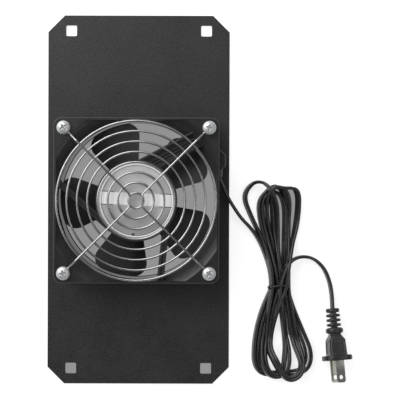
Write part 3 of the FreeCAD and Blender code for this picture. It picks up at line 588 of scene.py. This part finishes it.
def guard_screws():
    """Four screws whose heads lie in the corners of the CAD screws' box."""
    head, shank = pan_head(), threaded_shank()
    box_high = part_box("guard_screws")[1]
    reach, seat = box_high.x - HEAD_RADIUS * MM, box_high.z - HEAD_HEIGHT * MM
    copies = []
    for (side_x, side_y), turn in zip(CORNERS, HEAD_TURNS):
        for source in (head, shank):
            copy = linked("screw", source.data.copy())
            copy.matrix_world = (Matrix.Translation((side_x * reach, side_y * reach, seat))
                                 @ Matrix.Rotation(math.radians(turn), 4, "Z"))
            copies.append(copy)
    bpy.data.objects.remove(head)
    bpy.data.objects.remove(shank)
    bpy.context.view_layer.update()
    return joined("pan_head_screws", copies)


screws = guard_screws()
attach(screws, "tray")
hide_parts("guard_screws")


# --- shader nodes ------------------------------------------------------------------------------
def math_node(tree, kind, *values):
    """A Math node of that kind. Each value is a number or another node's output."""
    node = tree.nodes.new("ShaderNodeMath")
    node.operation = kind
    for socket, value in zip(node.inputs, values):
        if isinstance(value, (int, float)):
            socket.default_value = value
        else:
            tree.links.new(value, socket)
    return node.outputs["Value"]


def ranged_node(tree, value, first, last, start=0.0, stop=1.0):
    """The first number where the value is at start or below, the last from stop on, a mix in between."""
    node = tree.nodes.new("ShaderNodeMapRange")
    node.inputs["From Min"].default_value = start
    node.inputs["From Max"].default_value = stop
    node.inputs["To Min"].default_value = first
    node.inputs["To Max"].default_value = last
    tree.links.new(value, node.inputs["Value"])
    return node.outputs["Result"]


def split_node(tree, vector):
    """The X, Y and Z of a vector, by name."""
    node = tree.nodes.new("ShaderNodeSeparateXYZ")
    tree.links.new(vector, node.inputs["Vector"])
    return node.outputs


class Finish:
    """A procedural surface: grain in the colour, mottled gloss and fine relief."""

    def __init__(self, name, color, roughness, metallic=0.0):
        self.material = bpy.data.materials.new(name)
        self.material.use_nodes = True
        self.tree = self.material.node_tree
        self.shader = self.tree.nodes["Principled BSDF"]
        self.shader.inputs["Base Color"].default_value = (*color, 1.0)
        self.shader.inputs["Roughness"].default_value = roughness
        self.shader.inputs["Metallic"].default_value = metallic
        self.color = color
        self.place = self.tree.nodes.new("ShaderNodeTexCoord").outputs["Object"]

    def math(self, kind, *values):
        return math_node(self.tree, kind, *values)

    def ranged(self, value, first, last, start=0.3, stop=0.7):
        return ranged_node(self.tree, value, first, last, start, stop)

    def split(self, vector):
        return split_node(self.tree, vector)

    def feed(self, socket, value):
        """Feeds the shader's socket of that name."""
        self.tree.links.new(value, self.shader.inputs[socket])

    def length(self, x, y):
        """Distance from the Z axis."""
        return self.math("SQRT", self.math("ADD", self.math("MULTIPLY", x, x), self.math("MULTIPLY", y, y)))

    def noise(self, scale, detail=3.0, stretch=None):
        place = self.place
        if stretch:
            mapping = self.tree.nodes.new("ShaderNodeMapping")
            mapping.inputs["Scale"].default_value = stretch
            self.tree.links.new(place, mapping.inputs["Vector"])
            place = mapping.outputs["Vector"]
        noise = self.tree.nodes.new("ShaderNodeTexNoise")
        noise.inputs["Scale"].default_value = scale
        noise.inputs["Detail"].default_value = detail
        self.tree.links.new(place, noise.inputs["Vector"])
        return noise.outputs["Fac"]

    def colors(self, share, stops):
        """The colour at that share of a ramp of (position, colour) stops."""
        ramp = self.tree.nodes.new("ShaderNodeValToRGB")
        elements = ramp.color_ramp.elements
        elements[0].position, elements[0].color = stops[0][0], (*stops[0][1], 1.0)
        elements[1].position, elements[1].color = stops[-1][0], (*stops[-1][1], 1.0)
        for position, color in stops[1:-1]:
            elements.new(position).color = (*color, 1.0)
        self.tree.links.new(share, ramp.inputs["Fac"])
        return ramp.outputs["Color"]

    def over(self, share, under, color):
        """The colour laid over another one as far as the share says."""
        node = self.tree.nodes.new("ShaderNodeMix")
        node.data_type = "RGBA"
        factor, first, second = node.inputs[0], node.inputs[6], node.inputs[7]
        self.tree.links.new(share, factor)
        self.tree.links.new(under, first)
        second.default_value = (*color, 1.0)
        return node.outputs[2]

    def varied_color(self, share, spread):
        """Colour that wanders darker and lighter by the spread."""
        dark = [c * (1 - spread) for c in self.color]
        light = [min(1.0, c * (1 + spread)) for c in self.color]
        self.feed("Base Color", self.colors(share, [(0.3, dark), (0.7, light)]))

    def varied_gloss(self, share, low, high):
        self.feed("Roughness", self.ranged(share, low, high))

    def relief(self, height, depth, strength=1.0):
        """Bumps of that depth in millimetres where the height is 1."""
        bump = self.tree.nodes.new("ShaderNodeBump")
        bump.inputs["Distance"].default_value = depth * MM
        bump.inputs["Strength"].default_value = strength
        self.tree.links.new(height, bump.inputs["Height"])
        self.feed("Normal", bump.outputs["Normal"])

    def specular(self, level):
        self.shader.inputs["Specular IOR Level"].default_value = level


# --- materials ---------------------------------------------------------------------------------
def plain_finish(name, color, roughness, metallic=1.0, grain=900.0, depth=0.03, spread=0.12, gloss=0.08,
                 stretch=None):
    """A surface with one fine grain for relief and a broad one for colour and gloss."""
    made = Finish(name, color, roughness, metallic)
    made.varied_color(made.noise(90.0, 4.0), spread)
    made.varied_gloss(made.noise(240.0, 3.0), roughness - gloss, roughness + gloss)
    made.relief(made.noise(grain, 2.0, stretch), depth)
    return made.material


def plastic(name, color, roughness):
    """Dark plastic with a soft grain."""
    return plain_finish(name, color, roughness, 0.0, 600.0, 0.04, 0.2, 0.07)


def powder_coat():
    """Black coat with a fine bumpy texture and pale specks."""
    made = Finish("powder_coat", (0.0138, 0.0138, 0.0138), 0.5)
    speck = made.noise(1100.0, 2.0)
    cloud = made.ranged(made.noise(28.0, 5.0), -0.08, 0.08)
    made.varied_color(made.math("ADD", speck, cloud), 0.75)
    made.varied_gloss(made.noise(130.0, 3.0), 0.42, 0.54)
    made.relief(made.math("ADD", made.noise(620.0, 3.0), made.math("MULTIPLY", speck, 0.6)), 0.12, 0.9)
    made.specular(0.42)
    return made.material


BORE_EDGE = 59.0            # the bore's wall and the struts lie inside this radius
ENAMEL = (0.0125, 0.0120, 0.0128)
# the enamel's ramp: random tone between these, and painted light towards the light end on the flare and the
# struts
ENAMEL_DARK, ENAMEL_LIGHT = (0.0068, 0.0064, 0.0070), (0.052, 0.051, 0.052)
WALL_FACING = 0.15, 0.35    # a face turned up less than the first is wall, more than the second isn't
SLOPE_FACING = 0.5, 0.97    # one turned up less than the first is slope, more than the second is level
FLARE_PAINTED_LIGHT = 0.6           # painted light: share of the light enamel on the flare's slope
STRUT_PAINTED_LIGHT = 0.20, 0.46    # painted light: the same for the struts and faces inside the bore, on the left and on the right
STRUT_FADE = 20.0           # how far either side of the middle one gives way to the other
OUTSIDE_SPECULAR, BORE_SPECULAR = 0.4, 1.0


def fan_casting():
    """Black enamel, satin outside and smooth down the wall of the bore, with painted light on the flare's
    slope and on the struts, more on the right.
    """
    made = Finish("fan_casting", ENAMEL, 0.34)
    normal = made.split(made.tree.nodes.new("ShaderNodeNewGeometry").outputs["True Normal"])
    facing_up = made.math("ABSOLUTE", normal["Z"])
    place = made.split(made.place)
    inside = made.math("LESS_THAN", made.length(place["X"], place["Y"]), BORE_EDGE * MM)
    steep = made.ranged(facing_up, 1.0, 0.0, *WALL_FACING)
    flat = made.math("SUBTRACT", 1.0, made.math("MULTIPLY", steep, inside))
    # painted light: sloping faces, and faces inside the bore more on the right than on the left, are made
    # lighter in colour
    slope = made.ranged(facing_up, 1.0, 0.0, *SLOPE_FACING)
    strut = made.ranged(place["X"], *STRUT_PAINTED_LIGHT, -STRUT_FADE * MM, STRUT_FADE * MM)
    light = made.math("MAXIMUM", made.math("MULTIPLY", slope, FLARE_PAINTED_LIGHT),
                      made.math("MULTIPLY", inside, strut))
    share = made.math("ADD", made.math("MULTIPLY", made.noise(60.0, 4.0), 0.4), light)
    made.feed("Base Color", made.colors(share, [(0.15, ENAMEL_DARK), (0.9, ENAMEL_LIGHT)]))
    rough = made.ranged(made.noise(150.0, 4.0), 0.26, 0.40)
    made.feed("Roughness", made.math("ADD", made.math("MULTIPLY", rough, flat), 0.04))
    made.relief(made.math("MULTIPLY", made.noise(420.0, 3.0), flat), 0.05, 0.7)
    made.feed("Specular IOR Level", made.ranged(flat, BORE_SPECULAR, OUTSIDE_SPECULAR, 0.0, 1.0))
    return made.material


def impeller_plastic():
    """Dull black moulded plastic."""
    made = Finish("impeller_plastic", (0.0350, 0.0337, 0.0366), 0.42)
    made.varied_color(made.noise(50.0, 3.0), 0.16)
    made.varied_gloss(made.noise(110.0, 3.0), 0.36, 0.48)
    made.relief(made.noise(700.0, 2.0), 0.02, 0.6)
    made.specular(0.14)
    return made.material


def guard_chrome():
    """Bright plated wire."""
    made = Finish("guard_chrome", (0.365, 0.36, 0.356), 0.17, 1.0)
    made.varied_color(made.noise(110.0, 3.0), 0.16)
    made.varied_gloss(made.noise(260.0, 3.0), 0.10, 0.26)
    made.relief(made.noise(900.0, 2.0), 0.01, 0.5)
    return made.material


def cord_pvc():
    """Soft black vinyl with some gloss."""
    made = Finish("cord_pvc", (0.0165, 0.0165, 0.0170), 0.27)
    made.varied_color(made.noise(120.0, 3.0), 0.2)
    made.varied_gloss(made.noise(300.0, 3.0), 0.20, 0.34)
    made.relief(made.noise(850.0, 2.0), 0.03, 0.6)
    made.specular(0.5)
    return made.material


LABEL_TILT = -2.7           # degrees
WHITE_RINGS = (27.1, 27.9), (25.6, 26.4)            # inner and outer radius of each ring
DARK_RING = 25.0, 25.3
PRESSED_RING = 19.2, 19.9
PRINT_EDGE = 26.0           # the band and its rules end at this radius
BAND_MIDDLE = 0.9
BAND_HALF = 4.4
BAND_GAP = 4.0              # half of the silver part in the band's middle
RULE_WIDTH = 0.55
RULE_START = 16.5           # the dark rules run from here out to the rim
ARROW_PLACE = (-1.1, -24.9)
ARROW_HALF = 1.2            # half its height
ARROW_SPLAY = 0.6           # half its width at the top, as a share of its height
FOIL, FOIL_DARK, FOIL_LIGHT = (0.52, 0.52, 0.51), (0.42, 0.42, 0.42), (0.67, 0.67, 0.67)
FOIL_METAL = 0.45
LABEL_PAINTED_LIGHT = 14.0           # painted light: how fast the foil lightens towards the top, per metre
PRINT_WHITE, PRINT_DARK = (0.93, 0.93, 0.93), (0.03, 0.03, 0.03)


def foil_label():
    """Silver foil with a double white rim, a pressed ring, a blank white band, a plain triangle and painted
    light that grows towards the top.
    """
    made = Finish("foil_label", FOIL, 0.36, 1.0)
    tilt = made.tree.nodes.new("ShaderNodeVectorRotate")
    tilt.inputs["Angle"].default_value = math.radians(-LABEL_TILT)
    made.tree.links.new(made.place, tilt.inputs["Vector"])
    place = made.split(tilt.outputs["Vector"])
    x, y = place["X"], place["Y"]
    radius = made.length(x, y)

    def both(*shares):
        return reduce(lambda first, second: made.math("MULTIPLY", first, second), shares)

    def either(*shares):
        total = reduce(lambda first, second: made.math("ADD", first, second), shares)
        return made.math("MINIMUM", total, 1.0)

    def between(value, low, high):
        return both(made.math("GREATER_THAN", value, low * MM), made.math("LESS_THAN", value, high * MM))

    inside = made.math("LESS_THAN", radius, PRINT_EDGE * MM)
    above = made.math("ABSOLUTE", made.math("SUBTRACT", y, BAND_MIDDLE * MM))
    aside = made.math("ABSOLUTE", x)
    band = both(made.math("LESS_THAN", above, BAND_HALF * MM), inside,
                made.math("GREATER_THAN", aside, BAND_GAP * MM))
    rules = both(between(above, BAND_HALF, BAND_HALF + RULE_WIDTH), inside,
                 made.math("GREATER_THAN", aside, RULE_START * MM))
    rise = made.math("SUBTRACT", y, (ARROW_PLACE[1] - ARROW_HALF) * MM)
    offset = made.math("ABSOLUTE", made.math("SUBTRACT", x, ARROW_PLACE[0] * MM))
    arrow = both(made.math("LESS_THAN", offset, made.math("MULTIPLY", rise, ARROW_SPLAY)),
                 made.math("LESS_THAN", rise, 2 * ARROW_HALF * MM))
    white = either(*[between(radius, *ring) for ring in WHITE_RINGS], band)
    dark = either(rules, arrow, between(radius, *DARK_RING))
    # random grain plus painted light, lighter towards the top
    grain = made.math("ADD", made.noise(60.0, 3.0), made.math("MULTIPLY", y, LABEL_PAINTED_LIGHT))
    foil = made.colors(grain, [(0.2, FOIL_DARK), (0.8, FOIL_LIGHT)])
    made.feed("Base Color", made.over(dark, made.over(white, foil, PRINT_WHITE), PRINT_DARK))
    bare = made.math("SUBTRACT", 1.0, either(white, dark))
    made.feed("Metallic", made.math("MULTIPLY", bare, FOIL_METAL))
    made.varied_gloss(made.noise(400.0, 3.0), 0.28, 0.46)
    pressed = made.math("MULTIPLY", between(radius, *PRESSED_RING), 4.0)
    made.relief(made.math("ADD", made.noise(700.0, 2.0), pressed), 0.03, 0.8)
    return made.material


NICKEL = (0.40, 0.40, 0.345)
# painted shade: colours of the upper blade, darkened, darkest at its tip
PAINTED_SHADE, PAINTED_SHADE_TIP = (0.19, 0.19, 0.175), (0.115, 0.115, 0.11)
BLADES_PART = 16.5, 19.5        # heights between which the lower blade gives way to the upper one
TIP_START, TIP_STOP = -121.0, -126.0    # y between which the painted shade reaches its full depth
ROOT_PAINTED_SHADE = 0.6              # share of the full painted shade nearer the plug's body


def nickel_brass():
    """Nickel over brass, with painted shade on the upper blade, darkest at its tip."""
    made = Finish("nickel_brass", NICKEL, 0.34, 1.0)
    place = made.split(made.place)
    grain = made.ranged(made.noise(140.0, 4.0), -0.05, 0.05)
    upper = made.ranged(place["Z"], 0.0, 1.0, BLADES_PART[0] * MM, BLADES_PART[1] * MM)
    tip = made.ranged(place["Y"], 1.0, ROOT_PAINTED_SHADE, TIP_STOP * MM, TIP_START * MM)
    # painted shade on the upper blade, deepest at its tip, with a random grain
    blade_painted_shade = made.math("ADD", made.math("MULTIPLY", upper, tip), grain)
    made.feed("Base Color", made.colors(blade_painted_shade, [(0.05, NICKEL), (0.6, PAINTED_SHADE), (0.95, PAINTED_SHADE_TIP)]))
    made.varied_gloss(made.noise(300.0, 3.0), 0.28, 0.38)
    made.relief(made.noise(700.0, 2.0), 0.008)
    return made.material


FINISHES = {
    "powder_coat": powder_coat(),
    "fan_casting": fan_casting(),
    "impeller_plastic": impeller_plastic(),
    "foil_label": foil_label(),
    "guard_chrome": guard_chrome(),
    "cord_pvc": cord_pvc(),
    "zinc": plain_finish("zinc", (0.56, 0.57, 0.58), 0.30, 0.6, grain=700.0, depth=0.02),
    "spring_steel": plain_finish("spring_steel", (0.50, 0.50, 0.52), 0.30, grain=800.0, depth=0.01),
    "lamination": plain_finish("lamination", (0.30, 0.31, 0.33), 0.42, grain=1400.0, depth=0.05, spread=0.15,
                               stretch=(1.0, 1.0, 14.0)),
    "copper_wire": plain_finish("copper_wire", (0.62, 0.26, 0.12), 0.34, grain=1200.0, depth=0.1,
                                spread=0.15),
    "brass": plain_finish("brass", (0.62, 0.47, 0.22), 0.30, grain=800.0, depth=0.02),
    "bronze": plain_finish("bronze", (0.42, 0.26, 0.13), 0.42, grain=1500.0, depth=0.05),
    "tinned_brass": plain_finish("tinned_brass", (0.60, 0.58, 0.52), 0.32, depth=0.02),
    "nickel_brass": nickel_brass(),
    "former_plastic": plastic("former_plastic", (0.035, 0.033, 0.031), 0.42),
    "lead_insulation": plastic("lead_insulation", (0.018, 0.018, 0.019), 0.45),
    "moulded_pvc": plastic("moulded_pvc", (0.0130, 0.0130, 0.0134), 0.33),
    "tie_plastic": plastic("tie_plastic", (0.014, 0.014, 0.014), 0.35),
}


def finish_piece(piece, slot):
    piece.data.materials.clear()
    piece.data.materials.append(FINISHES[slot])


for subpart in frame["record"]["subparts"]:
    finish_piece(frame["nodes"][subpart["node"]], subpart["material_slot"])
finish_piece(mains_cord, "cord_pvc")
finish_piece(tie, "tie_plastic")
finish_piece(plug, "moulded_pvc")
finish_piece(screws, "zinc")

# --- floor, world, lamps and camera ------------------------------------------------------------
FLOOR_HALF = 3.0            # metres
FLOOR_WHITE, FLOOR_GLOW = 0.5, 0.72
# painted shade: the floor's colour and glow where it shows through the plate's holes and the hank
FLOOR_PAINTED_SHADE, FLOOR_PAINTED_SHADE_GLOW = 0.02, 0.285
# middle, half size and squareness of the painted shade (grey) below the plate, the hank's crowns and two of
# its slits
UNDER = [
    ((0.0, -16.2), (60.0, 116.2), 60), ((106.4, -11.0), (12.6, 20.5), 6),
    ((105.8, -32.0), (2.0, 12.0), 4), ((111.3, -94.6), (2.4, 8.4), 4),
]
WORLD_LIGHT = 0.38
SKY_DARK, SKY_WINDOW = 0.24, 0.95       # what shiny things see overhead and in the window
WINDOW = (-0.72, 0.69)                  # heading of the window
WINDOW_START, WINDOW_STOP = 0.0, 0.7    # how far towards it the sky begins and ends to brighten
# name, place and target in metres, size in metres, power in watts
LAMPS = [
    ("key", (-0.55, 0.60, 0.75), (0.0, 0.0, 0.0), (1.2, 1.2), 13.0),
    ("strip", (0.75, -0.2, 0.9), (0.05, 0.0, 0.0), (1.4, 0.14), 2.2),
]
CAMERA_PLACE = (37.2, 14.2, 850.0)
CAMERA_SHIFT = (0.0298, -0.0478)
CAMERA_LENS = 101.4
CAMERA_ROLL = 0.17          # degrees


def patch(tree, place, centre, size, squareness):
    """1 inside a rectangle with more or less rounded corners, 0 outside it."""
    total = 0.0
    for axis, middle, half in zip(("X", "Y"), centre, size):
        away = math_node(tree, "ABSOLUTE", math_node(tree, "SUBTRACT", place[axis], middle * MM))
        share = math_node(tree, "DIVIDE", away, half * MM)
        total = math_node(tree, "ADD", math_node(tree, "POWER", share, squareness), total)
    return math_node(tree, "LESS_THAN", total, 1.0)


def floor():
    """White paper with a soft shadow, and painted grey shade where it shows through the plate's holes and
    the hank.
    """
    corners = [(x * FLOOR_HALF, y * FLOOR_HALF, 0) for x, y in CORNERS]
    sheet = new_piece("floor", corners, [(0, 1, 2, 3)], smooth=False)
    material = bpy.data.materials.new("floor")
    material.use_nodes = True
    tree = material.node_tree
    tree.nodes.clear()
    place = split_node(tree, tree.nodes.new("ShaderNodeTexCoord").outputs["Object"])
    # painted shade: grey patches under the plate and the hank
    under = 0.0
    for area in UNDER:
        under = math_node(tree, "MAXIMUM", patch(tree, place, *area), under)
    paper = tree.nodes.new("ShaderNodeBsdfDiffuse")
    tree.links.new(ranged_node(tree, under, FLOOR_WHITE, FLOOR_PAINTED_SHADE), paper.inputs["Color"])
    rays = tree.nodes.new("ShaderNodeLightPath").outputs
    seen = math_node(tree, "MAXIMUM", rays["Is Camera Ray"], rays["Is Glossy Ray"])
    seen = math_node(tree, "MAXIMUM", seen, rays["Is Transmission Ray"])
    glow = tree.nodes.new("ShaderNodeEmission")
    strength = ranged_node(tree, under, FLOOR_GLOW, FLOOR_PAINTED_SHADE_GLOW)
    tree.links.new(math_node(tree, "MULTIPLY", strength, seen), glow.inputs["Strength"])
    add = tree.nodes.new("ShaderNodeAddShader")
    tree.links.new(paper.outputs["BSDF"], add.inputs[0])
    tree.links.new(glow.outputs["Emission"], add.inputs[1])
    out = tree.nodes.new("ShaderNodeOutputMaterial")
    tree.links.new(add.outputs["Shader"], out.inputs["Surface"])
    sheet.data.materials.append(material)


def world():
    """White behind everything; for shiny things a soft sky that is brighter on the window's side."""
    made = bpy.data.worlds.new("studio")
    bpy.context.scene.world = made
    made.use_nodes = True
    tree = made.node_tree
    heading = split_node(tree, tree.nodes.new("ShaderNodeTexCoord").outputs["Generated"])
    towards = math_node(tree, "ADD", math_node(tree, "MULTIPLY", heading["X"], WINDOW[0]),
                        math_node(tree, "MULTIPLY", heading["Y"], WINDOW[1]))
    sky = ranged_node(tree, towards, SKY_DARK, SKY_WINDOW, WINDOW_START, WINDOW_STOP)
    rays = tree.nodes.new("ShaderNodeLightPath").outputs
    shiny = math_node(tree, "MAXIMUM", rays["Is Glossy Ray"], rays["Is Transmission Ray"])
    dull = math_node(tree, "SUBTRACT", 1.0, shiny)
    lit = math_node(tree, "ADD", math_node(tree, "MULTIPLY", sky, shiny),
                    math_node(tree, "MULTIPLY", WORLD_LIGHT, dull))
    background = tree.nodes["Background"]
    background.inputs["Color"].default_value = (1.0, 1.0, 1.0, 1.0)
    strength = math_node(tree, "MAXIMUM", rays["Is Camera Ray"], lit)
    tree.links.new(strength, background.inputs["Strength"])


def lamp(name, place, target, size, power):
    """A rectangular lamp that faces its target."""
    data = bpy.data.lights.new(name, "AREA")
    data.shape = "RECTANGLE"
    data.size, data.size_y = size
    data.energy = power
    holder = linked(name, data)
    holder.location = place
    holder.rotation_mode = "QUATERNION"
    holder.rotation_quaternion = (Vector(target) - Vector(place)).to_track_quat("-Z", "Y")


def camera():
    """Straight above, with its axis off the middle of the picture."""
    data = bpy.data.cameras.new("camera")
    data.sensor_width = 36.0
    data.lens = CAMERA_LENS
    data.shift_x, data.shift_y = CAMERA_SHIFT
    data.clip_end = 20.0
    holder = linked("camera", data)
    holder.location = Vector(CAMERA_PLACE) * MM
    holder.rotation_euler = (0, 0, math.radians(CAMERA_ROLL))
    bpy.context.scene.camera = holder


floor()
world()
for values in LAMPS:
    lamp(*values)
camera()
bpy.context.scene.view_settings.view_transform = "Standard"
